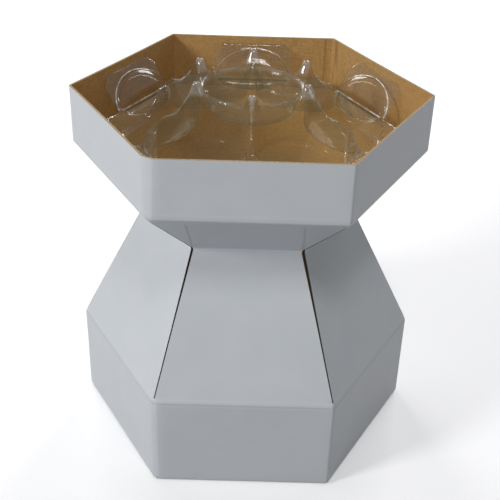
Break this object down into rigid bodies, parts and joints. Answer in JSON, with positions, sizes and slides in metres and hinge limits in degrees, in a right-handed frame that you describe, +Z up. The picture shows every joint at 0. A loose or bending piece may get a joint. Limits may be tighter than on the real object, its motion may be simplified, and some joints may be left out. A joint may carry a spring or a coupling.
{
  "type": "cupcake bouquet box",
  "caption": "Hexagonal folded board carrier with a wide tray, a narrow neck and a wide foot, holding a clear moulded film insert with round wells for cupcakes.",
  "frame": {"origin": "centre of the foot's underside, where the box stands on a table", "axes": "+Z up through the neck and the tray, +X towards a corner of the hexagon, -Y towards the flat side that faces the viewer"},
  "size_m": [0.2392, 0.2078, 0.2626],
  "materials": {
    "white_board": "satin white outside, brown kraft inside",
    "clear_film": "clear glossy moulded film"
  },
  "bodies": {
    "root": {"carton": "white_board", "cupcake_insert": "clear_film"}
  },
  "joints": []
}
